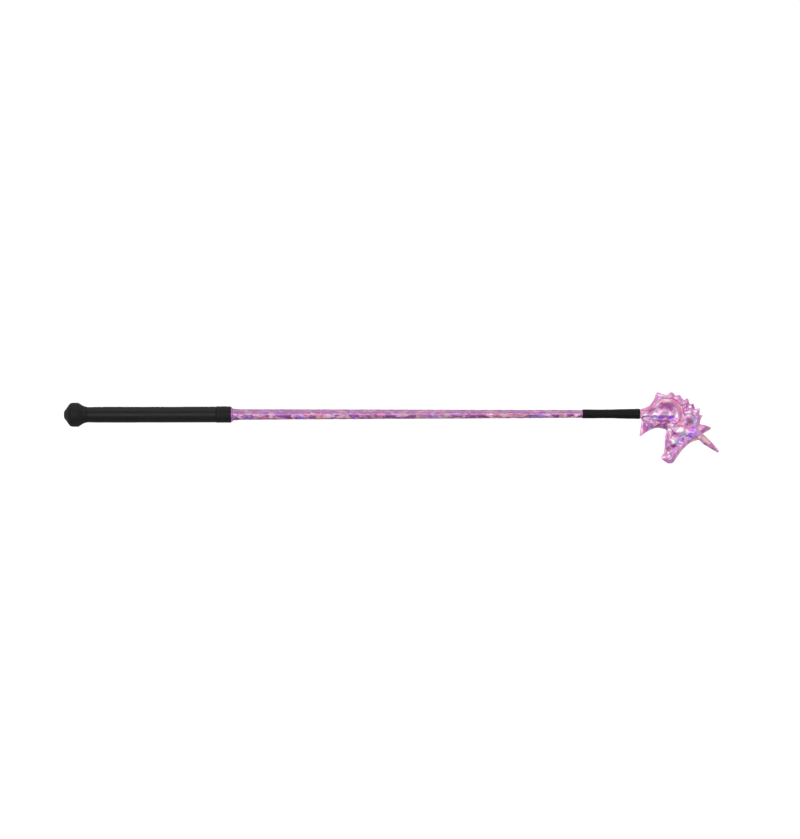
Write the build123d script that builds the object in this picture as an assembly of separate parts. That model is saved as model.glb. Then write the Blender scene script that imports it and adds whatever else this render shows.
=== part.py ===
"""Child's riding crop with a padded unicorn-head flap, one STEP file for each piece.

X runs along the shaft from the butt to the head, Z is up in the plane of the head, and Y is across it.
The origin is the middle of the grip, on the axis of the shaft. A station is a distance along the shaft,
with the butt's flat nose at NOSE_START.
"""

import os

from build123d import *

# Stations of the visible pieces, mm
NOSE_START = 0.7
POMMEL_END = 23.8
GRIP_END = 151.7
BAND_END = 166.4
SLEEVE_START = 515.0
SLEEVE_END = 571.9
ORIGIN = (POMMEL_END + GRIP_END) / 2

# Handle
NOSE_R = 3.6
POMMEL_R = 12.0
CORE_START, CORE_R = 1.8, 10.3
NECK_R = 7.72
GRIP_R = 7.93
BAND_R = 8.25
BAND_ROUND = 0.5
HANDLE_CORE_R = 6.1

# Shaft
ROD_START, ROD_START_R = 9.0, 3.1
ROD_END, ROD_END_R = 569.5, 2.0
COLLAR_R = 7.6
COLLAR_END = 168.6
FLARE_R = 5.85
FLARE_END = 173.3
FILM_START_R, FILM_END_R = 5.4, 3.98
FILM = 0.3
FILM_END = SLEEVE_START + 4.0

# Tip
TONGUE_START = 521.5
TONGUE_R = 3.6
TIP_CAP_START = 564.2
TIP_CAP_R = 2.6
THREAD_START = 549.0
THREAD = 0.5
THREAD_TURNS = 42
SWELL_START, SWELL_END = THREAD_START - 1.0, THREAD_START + 11.0
MOUTH_BORE_R = 4.22

# Head, in its own plane: u runs on from the sleeve's mouth and w rises from the shaft's axis
PIVOT_U = 4.6
NECK_HALF = 4.2
RIM = 0.8
PUFF = 4.4
PUFF_SLOPE = 1.9
SKIN = 0.8
STIFFENER_HALF = 0.4
SPINE_R = 1.9
SPINE_START, SPINE_END = 2.0, 33.0

# Clearances
GLUE = 0.05
SLEEVE_GAP = 0.4
STIFFENER_MARGIN = 0.4

NECK_TOP = [(10.0, 8.8), (14.0, 14.5)]
MANE = [
    (16.5, 21.3), (18.5, 21.3), (22.0, 20.0), (25.0, 19.3), (28.0, 19.2), (30.5, 21.5), (33.0, 21.0),
    (35.5, 17.8), (38.0, 18.5), (40.0, 19.0), (41.0, 16.5), (44.0, 13.5), (46.5, 15.5), (48.0, 14.8),
    (49.5, 9.5), (52.5, 10.5), (53.5, 9.5), (55.0, 4.5), (59.0, 6.0), (59.5, 4.0), (59.0, -1.0),
    (62.5, -1.8), (60.0, -6.0), (59.5, -10.5),
]
EAR = [(64.0, -11.0), (71.0, -13.8), (69.5, -15.8), (62.5, -19.8)]
HORN = [
    (70.2, -27.0), (76.6, -34.4), (78.5, -37.3), (77.5, -38.7), (70.0, -34.5), (62.5, -29.8), (58.7, -25.8),
]
FOREHEAD = [(50.0, -28.8), (42.0, -36.0), (36.5, -43.5), (33.0, -48.3)]
MUZZLE = [(30.0, -49.3), (27.0, -48.8), (21.8, -45.0), (21.0, -42.5), (23.6, -39.0)]
JAW = [(24.6, -33.0), (24.8, -24.0), (26.4, -17.5), (25.3, -15.5)]
THROAT = [(22.0, -14.6), (16.0, -14.1), (8.0, -17.2), (1.0, -22.0)]
CHEST = [(-0.2, -21.6), (0.8, -14.0), (1.7, -6.5)]

PUFF_TOP = [
    (6.5, 4.3), (12.0, 7.0), (18.0, 15.0), (25.0, 16.9), (33.0, 16.3), (40.0, 12.6), (47.0, 7.2),
    (53.0, 1.5), (56.3, -7.0), (57.5, -14.0),
]
PUFF_FACE = [(56.5, -21.5), (47.0, -28.0), (39.0, -35.0), (33.0, -44.0), (28.5, -46.4), (24.4, -43.6)]
PUFF_JAW = [
    (26.3, -38.0), (27.3, -30.0), (28.0, -20.0), (27.0, -13.0), (17.0, -11.6), (8.0, -12.6), (4.6, -9.0),
]

HORN_PUFF = [(60.5, -21.8), (75.5, -35.9), (74.9, -36.7), (59.6, -25.0)]
HORN_PUFF_HEIGHT = 2.0


def rod_radius(station):
    """The core rod's radius, which falls evenly from the butt to the tip."""
    share = (station - ROD_START) / (ROD_END - ROD_START)
    return ROD_START_R + share * (ROD_END_R - ROD_START_R)


def film_radius(station):
    """The outer radius of the film past its flare."""
    share = (station - BAND_END) / (SLEEVE_START - BAND_END)
    return FILM_START_R + share * (FILM_END_R - FILM_START_R)


def turned(*points):
    """A solid turned about the shaft's axis from points of (station, radius)."""
    outline = Polyline(*[(station - ORIGIN, radius) for station, radius in points], close=True)
    return revolve(Plane.XZ * make_face(outline), Axis.X)


def on_rod(station, gap=GLUE):
    """The point of a bore that fits the rod with a glue gap."""
    return station, rod_radius(station) + gap


def core_rod():
    return turned((ROD_START, 0), (ROD_START, ROD_START_R), (ROD_END, ROD_END_R), (ROD_END, 0))


def knob_wall(gap):
    """The face between the hard knob and its rubber cap, at a gap outside the hard knob."""
    return [
        (CORE_START - gap, NOSE_R + gap), (7.4 - gap, CORE_R + gap), (13.9 + gap, CORE_R + gap),
        (19.0 + gap, HANDLE_CORE_R + 0.3 + gap), (POMMEL_END, HANDLE_CORE_R + gap),
    ]


def pommel_core():
    bore = ROD_START - GLUE
    return turned((CORE_START, 0), *knob_wall(0), on_rod(POMMEL_END), on_rod(bore), (bore, 0))


def pommel_cap():
    outside = [
        (NOSE_START, NOSE_R), (1.3, 4.3), (3.0, 6.5), (5.2, 9.8), (6.6, 11.3), (8.2, POMMEL_R),
        (14.8, POMMEL_R), (16.3, 11.05), (18.0, 9.8), (20.0, 8.7), (21.0, 8.32), (22.9, 7.93),
        (POMMEL_END, NECK_R),
    ]
    inside = knob_wall(GLUE)
    return turned((NOSE_START, 0), *outside, *inside[::-1], (CORE_START - GLUE, 0))


def handle_core():
    start, end = POMMEL_END + GLUE, GRIP_END - GLUE
    return turned(on_rod(start), (start, HANDLE_CORE_R), (end, HANDLE_CORE_R), on_rod(end))


def grip_sleeve():
    start, end, bore = POMMEL_END + GLUE, GRIP_END - GLUE, HANDLE_CORE_R + GLUE
    return turned((start, bore), (start, GRIP_R - 0.2), (start + 0.4, GRIP_R), (end, GRIP_R), (end, bore))


def grip_end_band():
    bore = FLARE_R + GLUE
    ring = turned((GRIP_END, bore), (GRIP_END, BAND_R), (BAND_END, BAND_R), (BAND_END, bore))
    rims = ring.edges().filter_by(GeomType.CIRCLE).filter_by(lambda edge: edge.radius > BAND_R - GLUE)
    return fillet(rims, BAND_ROUND)


def film_wrap():
    """The film: a collar against the band, a double thickness next to it, and then one layer."""
    start, collar, step = GRIP_END + GLUE, BAND_END + GLUE, FLARE_END + 1.3
    return turned(
        (start, FLARE_R), (collar, FLARE_R), (collar, COLLAR_R), (BAND_END + 0.9, COLLAR_R - 0.3),
        (COLLAR_END, FLARE_R), (FLARE_END, FLARE_R), (step, film_radius(step)),
        (FILM_END, film_radius(FILM_END)), (FILM_END, film_radius(FILM_END) - FILM),
        (start, film_radius(start) - FILM),
    )


def shaft_padding():
    start, end = GRIP_END + GLUE, FILM_END
    under = FILM + GLUE
    top = (start, film_radius(start) - under), (end, film_radius(end) - under)
    return turned(*top, on_rod(end), on_rod(start))


def rod_tip_cap():
    closed_end = ROD_END + GLUE
    return turned(
        on_rod(TIP_CAP_START), (TIP_CAP_START, TIP_CAP_R), (closed_end + 0.8, TIP_CAP_R - 0.3),
        (closed_end + 1.1, 0), (closed_end, 0), on_rod(closed_end),
    )


def tongue_radius(station):
    """The tongue swells where its layers are bound."""
    share = min(max((station - SWELL_START) / (SWELL_END - SWELL_START), 0), 1)
    return TONGUE_R - 0.3 * (1 - share)


def flap_tongue():
    swell = [(s, tongue_radius(s)) for s in (TONGUE_START, SWELL_START, SWELL_END, SLEEVE_END)]
    pocket, pocket_r = TIP_CAP_START - 0.3, TIP_CAP_R + GLUE
    return turned(*swell, (SLEEVE_END, pocket_r), (pocket, pocket_r), on_rod(pocket), on_rod(TONGUE_START))


def binding_thread():
    """Close turns of thread, as a tube with one round ridge for each turn."""
    stations = [THREAD_START + THREAD * turn for turn in range(THREAD_TURNS + 1)]
    foot = {s: tongue_radius(s) + GLUE for s in stations}
    first, last = stations[0], stations[-1]
    ridges = Curve()
    for a, b in zip(stations, stations[1:]):
        crest = (foot[a] + foot[b]) / 2 + THREAD * 0.8
        ends = (a - ORIGIN, foot[a] + THREAD / 2), (b - ORIGIN, foot[b] + THREAD / 2)
        ridges += ThreePointArc(ends[0], ((a + b) / 2 - ORIGIN, crest), ends[1])
    under = Polyline(
        (last - ORIGIN, foot[last] + THREAD / 2), (last - ORIGIN, foot[last]),
        (SWELL_END - ORIGIN, TONGUE_R + GLUE), (first - ORIGIN, foot[first]),
        (first - ORIGIN, foot[first] + THREAD / 2),
    )
    return revolve(Plane.XZ * make_face(ridges + under), Axis.X)


def tip_sleeve():
    outside = [
        (SLEEVE_START, 4.35), (SLEEVE_START + 0.6, 4.52), (535.0, 4.38), (543.0, 4.42), (551.0, 4.7),
        (562.0, 4.94), (567.6, 4.98), (568.8, 5.08), (570.8, 5.08), (SLEEVE_END, 4.85),
    ]
    mouth = (SLEEVE_END, MOUTH_BORE_R), (561.0, MOUTH_BORE_R)
    return turned(*outside, *mouth, (SWELL_START, 3.85), (SLEEVE_START, FILM_END_R + GLUE))


def head_plane(point):
    """A point of the head's plane, (u, w), in the row's X and Z."""
    u, w = point
    return u + SLEEVE_END - ORIGIN, w


def head_points(points):
    return [head_plane(point) for point in points]


def head_face():
    """The whole outline of the flap, mane, ear and horn included."""
    neck = (SLEEVE_GAP, 5.0), (SLEEVE_GAP, -5.0)
    runs = [
        Spline(*head_points([neck[0], (5.0, 6.0), *NECK_TOP])),
        Polyline(*head_points([NECK_TOP[-1], *MANE, *EAR, *HORN])),
        Spline(*head_points([HORN[-1], *FOREHEAD])),
        Spline(*head_points([FOREHEAD[-1], *MUZZLE])),
        Spline(*head_points([MUZZLE[-1], *JAW])),
        Spline(*head_points([JAW[-1], *THROAT])),
        Polyline(*head_points([THROAT[-1], *CHEST, neck[1], neck[0]])),
    ]
    return make_face(Curve() + runs)


def inward(before, point, after, inset):
    """A point of a clockwise outline, moved in at right angles to the line between its neighbours."""
    along = Vector(*after) - Vector(*before)
    across = Vector(along.Y, -along.X).normalized() * inset
    return point[0] + across.X, point[1] + across.Y


def puff_face(inset):
    """The part of the head that is padded, less an inset."""
    run = [*PUFF_TOP, *PUFF_FACE, *PUFF_JAW]
    top, bottom = (SLEEVE_GAP, NECK_HALF - inset), (SLEEVE_GAP, inset - NECK_HALF)
    around = [top, *run, bottom]
    moved = [inward(*around[i:i + 3], inset) for i in range(len(run))]
    outline = head_points([top, *moved, bottom])
    return make_face(Curve() + [Spline(*outline), Line(outline[-1], outline[0])])


def slab(face, near, far):
    """A face of the head's plane, extruded towards the front from one depth to another."""
    return Pos(0, -near, 0) * extrude(Plane.XZ * face, far - near)


def neck_limit(radius):
    """The room that the head may take: round about the flex axis, and free beyond it."""
    pivot_x = head_plane((PIVOT_U, 0))[0]
    beyond = Pos(pivot_x + 50, 0, 0) * Box(100, 40, 120)
    return beyond + Pos(pivot_x, 0, 0) * Cylinder(radius, 120)


def puffed(inset, near, far):
    """A padded layer whose outer edge slopes in, kept inside the neck's round end."""
    shoulder = far - PUFF_SLOPE
    foot = slab(puff_face(inset), near, shoulder)
    sections = [Plane.XZ * puff_face(inset), Plane.XZ.offset(PUFF_SLOPE) * puff_face(inset + PUFF_SLOPE)]
    return (foot + Pos(0, -shoulder, 0) * loft(sections, ruled=True)) & neck_limit(NECK_HALF - inset)


def front_skin():
    horn_ridge = slab(make_face(Polyline(*head_points(HORN_PUFF), close=True)), 0, HORN_PUFF_HEIGHT)
    outside = slab(head_face(), 0, RIM) + puffed(0, 0, PUFF) + horn_ridge
    return outside - puffed(SKIN, -1.0, PUFF - SKIN)


def front_padding():
    pad = puffed(SKIN + GLUE, STIFFENER_HALF + GLUE, PUFF - SKIN - GLUE)
    return pad - spine_room()


def stiffener():
    inset = SKIN + STIFFENER_MARGIN
    sheet = slab(puff_face(inset), -STIFFENER_HALF, STIFFENER_HALF)
    return (sheet & neck_limit(NECK_HALF - inset)) - spine_room()


def spine_between(start, end, radius):
    start_x, end_x = head_plane((start, 0))[0], head_plane((end, 0))[0]
    return Pos((start_x + end_x) / 2, 0, 0) * Rot(0, 90, 0) * Cylinder(radius, end_x - start_x)


def spine_room():
    return spine_between(SPINE_START - 2, SPINE_END + 0.3, SPINE_R + GLUE)


def neck_spine():
    return spine_between(SPINE_START, SPINE_END, SPINE_R)


def main():
    pieces = {
        "core_rod": core_rod(),
        "pommel_core": pommel_core(),
        "pommel_cap": pommel_cap(),
        "handle_core": handle_core(),
        "grip_sleeve": grip_sleeve(),
        "grip_end_band": grip_end_band(),
        "shaft_padding": shaft_padding(),
        "film_wrap": film_wrap(),
        "rod_tip_cap": rod_tip_cap(),
        "flap_tongue": flap_tongue(),
        "binding_thread": binding_thread(),
        "tip_sleeve": tip_sleeve(),
        "neck_spine": neck_spine(),
        "stiffener": stiffener(),
        "front_padding": front_padding(),
        "back_padding": mirror(front_padding(), Plane.XZ),
        "front_skin": front_skin(),
        "back_skin": mirror(front_skin(), Plane.XZ),
    }
    os.makedirs("parts", exist_ok=True)
    for node, piece in pieces.items():
        export_step(piece, f"parts/{node}.step")


main()
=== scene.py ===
"""The looks of the riding crop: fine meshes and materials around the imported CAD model, in metres."""
import math

import bpy
import numpy as np
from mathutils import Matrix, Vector, noise
from mathutils.geometry import delaunay_2d_cdt
from mathutils.kdtree import KDTree


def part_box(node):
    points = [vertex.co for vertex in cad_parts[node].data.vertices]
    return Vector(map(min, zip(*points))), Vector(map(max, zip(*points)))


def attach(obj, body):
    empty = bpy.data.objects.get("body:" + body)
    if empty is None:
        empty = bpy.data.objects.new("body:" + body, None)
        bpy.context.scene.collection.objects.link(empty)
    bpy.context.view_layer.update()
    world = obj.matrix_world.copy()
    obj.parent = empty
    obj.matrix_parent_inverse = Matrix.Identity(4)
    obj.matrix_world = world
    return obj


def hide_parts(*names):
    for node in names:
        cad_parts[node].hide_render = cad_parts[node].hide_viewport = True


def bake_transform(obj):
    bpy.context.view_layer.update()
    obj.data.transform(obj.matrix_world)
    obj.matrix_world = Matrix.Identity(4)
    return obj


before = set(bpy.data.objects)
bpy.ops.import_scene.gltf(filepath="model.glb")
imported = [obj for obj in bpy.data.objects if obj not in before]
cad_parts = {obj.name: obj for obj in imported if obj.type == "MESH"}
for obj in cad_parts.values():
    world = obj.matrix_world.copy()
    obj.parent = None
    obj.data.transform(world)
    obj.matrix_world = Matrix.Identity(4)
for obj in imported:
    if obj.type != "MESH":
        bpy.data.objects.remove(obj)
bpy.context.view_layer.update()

MM = 0.001

# Places along the shaft, read from the frame
POMMEL_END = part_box("pommel_cap")[1].x
GRIP_START, GRIP_END = (corner.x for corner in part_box("grip_sleeve"))
BAND_START, BAND_END = (corner.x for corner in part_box("grip_end_band"))
FILM_START, FILM_END = (corner.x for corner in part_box("film_wrap"))
SLEEVE_START, MOUTH = (corner.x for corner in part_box("tip_sleeve"))

GRIP_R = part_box("grip_sleeve")[1].z
BAND_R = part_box("grip_end_band")[1].z
COLLAR_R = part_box("film_wrap")[1].z
FLARE_R = 5.85 * MM
HANDLE_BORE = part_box("handle_core")[1].z

# The knob's length, and the foil's radius at its two ends
KNOB_LENGTH = 23.8 * MM
FOIL_R_AT_BAND, FOIL_R_AT_TIP = 5.4 * MM, 3.98 * MM


# Camera, light and floor

PICTURE_WIDTH = 0.794
PICTURE_SHAPE = 839 / 800
CENTRE = (0.2461, -0.00525)
LENS, SENSOR = 100, 36
ROLL = math.radians(0.09)
FLOOR_Z = -0.32


def look(thing, place, target):
    """Puts a camera or light at a place, looking at a target."""
    thing.location = place
    thing.rotation_euler = (Vector(target) - Vector(place)).to_track_quat("-Z", "Y").to_euler()


def add_camera():
    camera = bpy.data.objects.new("camera", bpy.data.cameras.new("camera"))
    bpy.context.scene.collection.objects.link(camera)
    camera.data.lens = LENS
    camera.data.sensor_width = SENSOR
    camera.data.clip_start, camera.data.clip_end = 0.05, 60
    distance = PICTURE_WIDTH * PICTURE_SHAPE * LENS / SENSOR
    x, z = CENTRE
    look(camera, (x, -distance, z), (x, 0, z))
    camera.rotation_euler.rotate_axis("Z", -ROLL)
    bpy.context.scene.camera = camera


def add_light(name, place, target, width, height, watts):
    lamp = bpy.data.lights.new(name, "AREA")
    lamp.shape = "RECTANGLE"
    lamp.size, lamp.size_y = width, height
    lamp.energy = watts
    light = bpy.data.objects.new(name, lamp)
    bpy.context.scene.collection.objects.link(light)
    look(light, place, target)


def node(tree, kind, inputs=None, **settings):
    """A shader node with its settings, and with each input set to a value or linked to a socket."""
    made = tree.nodes.new("ShaderNode" + kind)
    for name, value in settings.items():
        setattr(made, name, value)
    for key, value in (inputs or {}).items():
        if isinstance(value, bpy.types.NodeSocket):
            tree.links.new(value, made.inputs[key])
        else:
            made.inputs[key].default_value = value
    return made


def ramp(tree, factor, stops):
    """The colour at a factor between stops of (position, colour), with three-part colours."""
    made = node(tree, "ValToRGB", {"Fac": factor})
    scale = made.color_ramp
    while len(scale.elements) < len(stops):
        scale.elements.new(0.5)
    for element, (position, colour) in zip(scale.elements, stops):
        element.position = position
        element.color = (*colour, 1)
    return made.outputs["Color"]


def add_world():
    """White behind the object, and for light a grey sky that is brighter above than below."""
    world = bpy.data.worlds.new("studio")
    bpy.context.scene.world = world
    world.use_nodes = True
    tree = world.node_tree
    tree.nodes.clear()
    height = node(tree, "SeparateXYZ", {0: node(tree, "TexCoord").outputs["Generated"]}).outputs["Z"]
    level = node(tree, "MapRange", {"Value": height, 1: -1.0, 2: 1.0}).outputs[0]
    greys = (0.0, 0.38), (0.34, 0.51), (0.50, 0.60), (1.0, 0.62)
    sky = ramp(tree, level, [(place, (grey, grey, grey)) for place, grey in greys])
    light = node(tree, "Background", {"Color": sky, "Strength": 1.04})
    backdrop = node(tree, "Background", {"Color": (1, 1, 1, 1), "Strength": 1.1})
    seen = node(tree, "LightPath").outputs["Is Camera Ray"]
    mix = node(tree, "MixShader", {0: seen, 1: light.outputs[0], 2: backdrop.outputs[0]})
    node(tree, "OutputWorld", {0: mix.outputs[0]})


def add_floor():
    """A white floor that takes a faint shadow."""
    radius, sides = 14.0, 96
    turns = [2 * math.pi * i / sides for i in range(sides)]
    mesh = bpy.data.meshes.new("floor")
    x = CENTRE[0]
    edge = [(x + radius * math.cos(a), radius * math.sin(a), FLOOR_Z) for a in turns]
    mesh.from_pydata(edge, [], [range(sides)])
    floor = bpy.data.objects.new("floor", mesh)
    bpy.context.scene.collection.objects.link(floor)
    material = bpy.data.materials.new("white_floor")
    material.use_nodes = True
    tree = material.node_tree
    tree.nodes.clear()
    paint = node(tree, "BsdfDiffuse", {"Color": (0.9, 0.9, 0.9, 1)})
    glow = node(tree, "Emission", {"Color": (1, 1, 1, 1), "Strength": 0.8})
    both = node(tree, "AddShader", {0: paint.outputs[0], 1: glow.outputs[0]})
    node(tree, "OutputMaterial", {0: both.outputs[0]})
    mesh.materials.append(material)
    floor.visible_diffuse = False
    floor.visible_glossy = False


def add_studio():
    middle = CENTRE[0]
    add_world()
    add_floor()
    add_light("overhead_softbox", (middle, -0.35, 1.3), (middle, 0, 0), 1.6, 0.7, 4.0)
    add_light("front_softbox", (middle - 0.1, -1.9, -0.03), (middle, 0, 0), 1.5, 0.6, 10)
    add_light("back_softbox", (middle, 1.8, 0.5), (middle, 0, 0), 1.3, 0.4, 7)
    bpy.context.scene.view_settings.view_transform = "Standard"


# Materials


def new_material(name):
    material = bpy.data.materials.new(name)
    material.use_nodes = True
    tree = material.node_tree
    return material, tree, tree.nodes["Principled BSDF"]


def connect(tree, surface, **sockets):
    """Links or sets a shader's inputs; an underscore in a name stands for a space."""
    for name, value in sockets.items():
        key = name.replace("_", " ")
        if isinstance(value, bpy.types.NodeSocket):
            tree.links.new(value, surface.inputs[key])
        else:
            surface.inputs[key].default_value = value


def math_node(tree, operation, *values):
    made = node(tree, "Math", dict(enumerate(values)), operation=operation)
    return made.outputs[0]


def vector_node(tree, operation, *values):
    made = node(tree, "VectorMath", dict(enumerate(values)), operation=operation)
    return made.outputs[0]


def noise_node(tree, place, scale, detail=3.0, roughness=0.5):
    sockets = {"Vector": place, "Scale": scale, "Detail": detail, "Roughness": roughness}
    return node(tree, "TexNoise", sockets).outputs["Fac"]


def bump(tree, height, distance, strength=1.0, under=None):
    sockets = {"Height": height, "Distance": distance, "Strength": strength}
    if under:
        sockets["Normal"] = under
    return node(tree, "Bump", sockets).outputs[0]


def rubber(name, dark, light, rough, shine, grain_size, dent_size, dent_depth):
    """Black rubber: a fine grain, shallow dents, and a bloom that dulls it in patches."""
    material, tree, surface = new_material(name)
    place = node(tree, "TexCoord").outputs["Object"]
    bloom = noise_node(tree, place, 60, 5, 0.6)
    speck = noise_node(tree, place, 900, 2)
    tone = math_node(tree, "MULTIPLY_ADD", speck, 0.35, math_node(tree, "MULTIPLY", bloom, 0.65))
    tint = np.array([0.98, 1.02, 1.06])
    colour = ramp(tree, tone, [(0.35, tuple(dark * tint)), (0.65, tuple(light * tint))])
    dulled = {"Value": bloom, 1: 0.3, 2: 0.7, 3: rough - 0.06, 4: rough + 0.08}
    gloss = node(tree, "MapRange", dulled).outputs[0]
    dents = bump(tree, noise_node(tree, place, 1 / dent_size, 2), dent_depth)
    grain = bump(tree, noise_node(tree, place, 1 / grain_size, 3), 0.04 * MM, 0.5, dents)
    connect(tree, surface, Base_Color=colour, Roughness=gloss, Normal=grain, Specular_IOR_Level=shine)
    return material


def foam_material(name, tone):
    """Closed-cell foam: fine pores and a slight unevenness of tone."""
    material, tree, surface = new_material(name)
    place = node(tree, "TexCoord").outputs["Object"]
    cells = node(tree, "TexVoronoi", {"Vector": place, "Scale": 1 / (0.5 * MM)}).outputs["Distance"]
    patch = noise_node(tree, place, 150, 3)
    colour = ramp(tree, patch, [(0.3, tuple(0.9 * c for c in tone)), (0.7, tone)])
    pores = bump(tree, cells, 0.12 * MM, 0.8)
    connect(tree, surface, Base_Color=colour, Roughness=0.85, Normal=pores)
    return material


def patterned(name, dark, light, pattern, rough, depth):
    """A plain hard or woven material: one pattern shades its colour, its gloss and its surface."""
    material, tree, surface = new_material(name)
    height = pattern(tree, node(tree, "TexCoord").outputs["Object"])
    colour = ramp(tree, height, [(0.25, dark), (0.75, light)])
    gloss = node(tree, "MapRange", {"Value": height, 3: rough + 0.10, 4: rough - 0.05}).outputs[0]
    connect(tree, surface, Base_Color=colour, Roughness=gloss, Normal=bump(tree, height, depth))
    return material


def fibres(tree, place):
    """Long glass fibres that run along the rod, under a few cloudy patches of resin."""
    strands = noise_node(tree, vector_node(tree, "MULTIPLY", place, (0.02, 1.0, 1.0)), 4000, 2)
    cloud = noise_node(tree, place, 90, 3)
    return math_node(tree, "MULTIPLY_ADD", strands, 0.7, math_node(tree, "MULTIPLY", cloud, 0.3))


def flow_marks(tree, place):
    """Moulded plastic: faint lines where it flowed, and a fine spark-eroded grain."""
    flow = noise_node(tree, vector_node(tree, "MULTIPLY", place, (0.3, 1.0, 1.0)), 140, 5, 0.6)
    grain = noise_node(tree, place, 2600, 2)
    return math_node(tree, "MULTIPLY_ADD", flow, 0.6, math_node(tree, "MULTIPLY", grain, 0.4))


def weave(tree, place):
    """Plain woven tape: threads along and across that pass over and under each other."""
    along, _, up = node(tree, "SeparateXYZ", {0: place}).outputs
    pick = math_node(tree, "SINE", math_node(tree, "MULTIPLY", along, 2 * math.pi / (0.9 * MM)))
    end = math_node(tree, "SINE", math_node(tree, "MULTIPLY", up, 2 * math.pi / (0.9 * MM)))
    over = math_node(tree, "MULTIPLY_ADD", math_node(tree, "MULTIPLY", pick, end), 0.35, 0.25)
    return math_node(tree, "MULTIPLY_ADD", noise_node(tree, place, 1800, 3), 0.5, over)


def twist(tree, place):
    """Spun thread: fine plies that slant across each turn."""
    along, _, up = node(tree, "SeparateXYZ", {0: place}).outputs
    slant = math_node(tree, "MULTIPLY_ADD", along, 2.0, up)
    ply = math_node(tree, "SINE", math_node(tree, "MULTIPLY", slant, 2 * math.pi / (0.35 * MM)))
    fuzz = noise_node(tree, place, 2500, 3)
    return math_node(tree, "MULTIPLY_ADD", ply, 0.25, math_node(tree, "MULTIPLY_ADD", fuzz, 0.4, 0.3))


def pressed(tree, place):
    """Pressed plastic sheet: small flattened flakes of uneven tone."""
    cells = node(tree, "TexVoronoi", {"Vector": place, "Scale": 1 / (1.2 * MM)}).outputs["Color"]
    flake, _, _ = node(tree, "SeparateColor", {0: cells}).outputs
    cloud = math_node(tree, "MULTIPLY", noise_node(tree, place, 500, 4), 0.6)
    return math_node(tree, "MULTIPLY_ADD", flake, 0.4, cloud)


SHAFT_MAUVE = (0.455, 0.205, 0.40)
HEAD_MAUVE = (0.75, 0.31, 0.63)
PLUM = (0.30, 0.05, 0.28)
MAUVE = (0.33, 0.05, 0.28)
VIOLET = (0.34, 0.11, 0.90)
ORCHID = (0.66, 0.26, 1.00)
BLUE = (0.50, 0.47, 1.00)
LILAC = (0.82, 0.38, 0.98)
PINK = (0.97, 0.33, 0.66)
# A painted highlight: the white that stands for glints of light on the foil.
PAINTED_HIGHLIGHT_WHITE = (1.00, 0.87, 1.00)
PEACH = (1.00, 0.58, 0.50)
ROSE = (1.00, 0.17, 0.42)
FOIL_HUES = [
    (0.00, PLUM), (0.09, VIOLET), (0.18, BLUE), (0.28, LILAC), (0.37, MAUVE), (0.51, MAUVE), (0.58, PINK),
    (0.65, PAINTED_HIGHLIGHT_WHITE), (0.74, PAINTED_HIGHLIGHT_WHITE), (0.81, PEACH), (0.90, ROSE), (1.00, HEAD_MAUVE),
]
SHAFT_HUES = [
    (0.00, PLUM), (0.17, PLUM), (0.23, VIOLET), (0.28, BLUE), (0.35, LILAC), (0.42, MAUVE), (0.54, MAUVE),
    (0.61, PINK), (0.69, PAINTED_HIGHLIGHT_WHITE), (0.78, PEACH), (0.86, ROSE), (0.93, PINK), (1.00, MAUVE),
]


def scaled(tree, vector, amount):
    made = vector_node(tree, "SCALE", vector)
    made.node.inputs["Scale"].default_value = amount
    return made


def shaft_hues_and_painted_reflection(tree, up, patch, own):
    """The shaft's foil is plain above and lively on its underside, where each flake has a hue of its own;
    the underside's dark and bright hues are painted reflections and painted shade.
    """
    # Painted reflection and shade: the flakes' hues show more where the surface faces down.
    below = node(tree, "MapRange", {"Value": up, 1: 0.15, 2: -0.40, 3: 0.18, 4: 1.0}).outputs[0]
    lively = node(tree, "MapRange", {"Value": patch, 1: 0.40, 2: 0.60, 3: 0.55, 4: 1.0}).outputs[0]
    place = math_node(tree, "MULTIPLY_ADD", own, 1.15, 0.5)
    return math_node(tree, "MULTIPLY", below, lively), ramp(tree, place, SHAFT_HUES)


def head_hues_and_painted_light(tree, up, patch, own):
    """The head's foil turns white and peach where it faces up and violet where it faces down: painted
    highlights above, painted shade below.

    Two values on its mesh, lay and glow, give set colours and how strongly they show: the foil's own hues,
    painted highlights and painted shade.
    """
    glow = node(tree, "Attribute", attribute_name="glow").outputs["Fac"]
    lay = node(tree, "Attribute", attribute_name="lay").outputs["Color"]
    # Painted highlight and shade: steep slopes take more hue.
    steep = node(tree, "MapRange", {"Value": math_node(tree, "ABSOLUTE", up), 1: 0.12, 2: 0.55}).outputs[0]
    lively = node(tree, "MapRange", {"Value": patch, 1: 0.42, 2: 0.62, 3: 0.40, 4: 1.0}).outputs[0]
    glint = math_node(tree, "MULTIPLY", glow, math_node(tree, "MULTIPLY_ADD", own, 0.6, 1.15))
    share = math_node(tree, "MAXIMUM", math_node(tree, "MULTIPLY", steep, lively), glint)
    # Painted highlight and shade: the hue moves towards white and peach where the foil faces up and towards
    # mauve and violet where it faces down.
    risen = math_node(tree, "MULTIPLY_ADD", up, 0.25, math_node(tree, "MULTIPLY_ADD", patch, 0.5, 0.36))
    free = ramp(tree, math_node(tree, "MULTIPLY_ADD", own, 0.6, risen), FOIL_HUES)
    shift = math_node(tree, "MULTIPLY_ADD", own, 0.10, 0.5)
    level = math_node(tree, "MULTIPLY_ADD", own, 0.2, 0.98)
    fixed = node(tree, "HueSaturation", {"Hue": shift, "Value": level, "Color": lay}).outputs[0]
    return share, node(tree, "Mix", {0: glow, 6: free, 7: fixed}, data_type="RGBA").outputs[2]


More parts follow.
